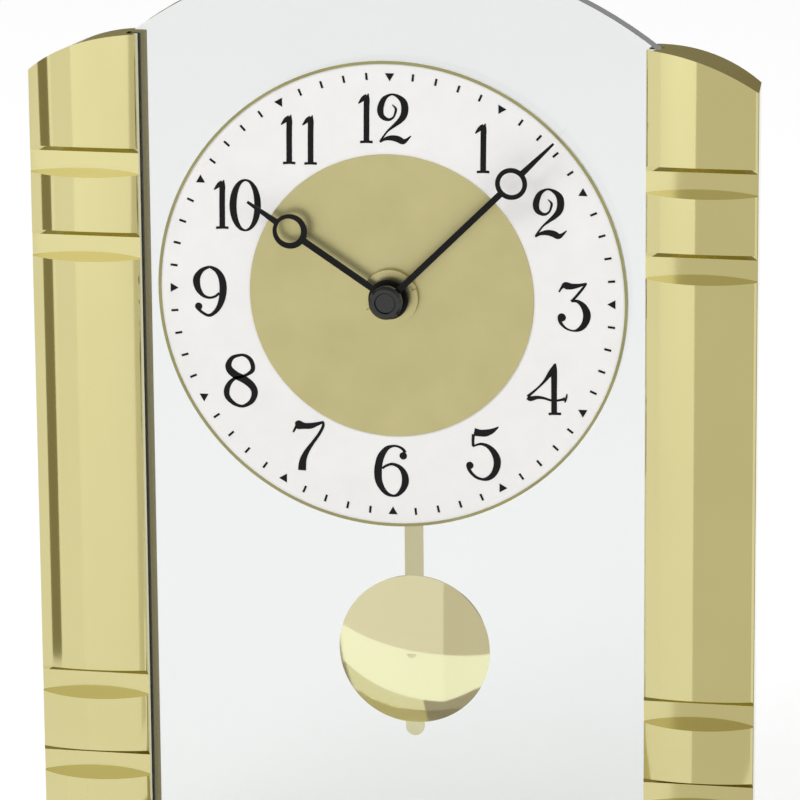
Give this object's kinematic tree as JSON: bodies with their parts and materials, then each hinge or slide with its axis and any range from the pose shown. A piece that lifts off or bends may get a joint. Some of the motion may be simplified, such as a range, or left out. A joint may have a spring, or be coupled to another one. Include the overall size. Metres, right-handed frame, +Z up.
{
  "type": "desk pendulum clock",
  "caption": "Desk clock with a round dial on an arched glass pane between two banded gold columns on a base, and a pendulum swinging behind the glass.",
  "frame": {"origin": "middle of the base's footprint, on the plane of the feet", "axes": "+X to the right seen from the dial's side, -Y is the way the dial faces, +Z up"},
  "size_m": [0.205, 0.063, 0.2551],
  "materials": {
    "polished_gold": "polished, lacquered",
    "satin_gold": "satin",
    "rim_gold": "satin, toned",
    "clear_glass": "clear",
    "dial_white": "satin white",
    "black_paint": "satin",
    "black_gloss": "gloss",
    "black_plastic": "fine texture",
    "white_plastic": "plain",
    "soft_rubber": "matte",
    "brown_rubber": "matte",
    "steel": "plain",
    "gear_brass": "cut",
    "copper_wire": "enamelled wire",
    "board_green": "board",
    "battery_wrap": "plain wrap, no print"
  },
  "bodies": {
    "clock_frame": {"base_shell": "polished_gold", "base_cover": "black_plastic", "ballast_plate": "steel", "rubber_feet": "soft_rubber", "base_screws": "steel", "column_foot_screws": "steel", "left_column_front": "polished_gold", "right_column_front": "polished_gold", "left_column_back": "polished_gold", "right_column_back": "polished_gold", "column_screws": "steel", "glass_pane": "clear_glass", "glass_foot_strip": "soft_rubber", "left_glass_strip": "brown_rubber", "right_glass_strip": "brown_rubber", "dial_plate": "dial_white", "dial_rim": "rim_gold", "dial_centre_disc": "satin_gold", "minute_track": "black_paint", "dial_nut": "satin_gold", "movement_case": "black_plastic", "movement_back": "black_plastic", "movement_screws": "steel", "case_washer": "soft_rubber", "threaded_bush": "gear_brass", "train_plate": "gear_brass", "stator": "steel", "motor_coil": "copper_wire", "circuit_board": "board_green", "drive_coil": "copper_wire", "battery": "battery_wrap", "battery_contacts": "steel", "pivot_pin": "steel", "pivot_clip": "steel"},
    "minute_hand_arbor": {"minute_arbor": "steel", "minute_hand": "black_paint", "hand_cap": "black_gloss"},
    "hour_hand_tube": {"hour_wheel": "gear_brass", "hour_hand": "black_paint"},
    "minute_wheel": {"minute_wheel": "gear_brass"},
    "setting_knob": {"setting_knob": "black_plastic"},
    "centre_wheel": {"centre_wheel": "gear_brass"},
    "third_wheel": {"third_wheel": "gear_brass"},
    "fourth_wheel": {"fourth_wheel": "gear_brass"},
    "intermediate_wheel": {"intermediate_wheel": "white_plastic"},
    "rotor": {"rotor": "white_plastic"},
    "pendulum": {"pendulum_hanger": "black_plastic", "drive_magnet": "steel", "pendulum_rod": "satin_gold", "bob_front": "polished_gold", "bob_back": "polished_gold"}
  },
  "joints": [
    {"name": "minute_hand_turn", "type": "hinge", "parent": "clock_frame", "child": "minute_hand_arbor", "pos_m": [0, -0.008, 0.168], "axis": [0, 1, 0], "continuous": true},
    {"name": "hour_hand_turn", "type": "hinge", "parent": "clock_frame", "child": "hour_hand_tube", "pos_m": [0, -0.008, 0.168], "axis": [0, 1, 0], "continuous": true},
    {"name": "minute_wheel_turn", "type": "hinge", "parent": "clock_frame", "child": "minute_wheel", "pos_m": [0.01014, 0.006, 0.16528], "axis": [0, 1, 0], "continuous": true},
    {"name": "setting_knob_turn", "type": "hinge", "parent": "clock_frame", "child": "setting_knob", "pos_m": [0.02048, 0.012, 0.16346], "axis": [0, 1, 0], "continuous": true},
    {"name": "rotor_turn", "type": "hinge", "parent": "clock_frame", "child": "rotor", "pos_m": [0.00766, 0.012, 0.18693], "axis": [0, 1, 0], "continuous": true},
    {"name": "intermediate_wheel_turn", "type": "hinge", "parent": "clock_frame", "child": "intermediate_wheel", "pos_m": [0.00116, 0.012, 0.18579], "axis": [0, 1, 0], "continuous": true},
    {"name": "fourth_wheel_turn", "type": "hinge", "parent": "clock_frame", "child": "fourth_wheel", "pos_m": [-0.00607, 0.012, 0.18315], "axis": [0, 1, 0], "continuous": true},
    {"name": "third_wheel_turn", "type": "hinge", "parent": "clock_frame", "child": "third_wheel", "pos_m": [-0.00827, 0.012, 0.17494], "axis": [0, 1, 0], "continuous": true},
    {"name": "centre_wheel_turn", "type": "hinge", "parent": "clock_frame", "child": "centre_wheel", "pos_m": [0, 0.009, 0.168], "axis": [0, 1, 0], "continuous": true},
    {"name": "pendulum_swing", "type": "hinge", "parent": "clock_frame", "child": "pendulum", "pos_m": [0, 0.0245, 0.192], "axis": [0, 1, 0], "range_deg": [-6, 6]}
  ],
  "couplings": [
    {"joint": "hour_hand_turn", "follows": "minute_hand_turn", "ratio": 0.083333},
    {"joint": "minute_wheel_turn", "follows": "minute_hand_turn", "ratio": -0.33333},
    {"joint": "setting_knob_turn", "follows": "minute_hand_turn", "ratio": 1},
    {"joint": "intermediate_wheel_turn", "follows": "rotor_turn", "ratio": -0.2},
    {"joint": "fourth_wheel_turn", "follows": "rotor_turn", "ratio": 0.033333},
    {"joint": "third_wheel_turn", "follows": "rotor_turn", "ratio": -0.0044444},
    {"joint": "centre_wheel_turn", "follows": "rotor_turn", "ratio": 0.00055556}
  ]
}
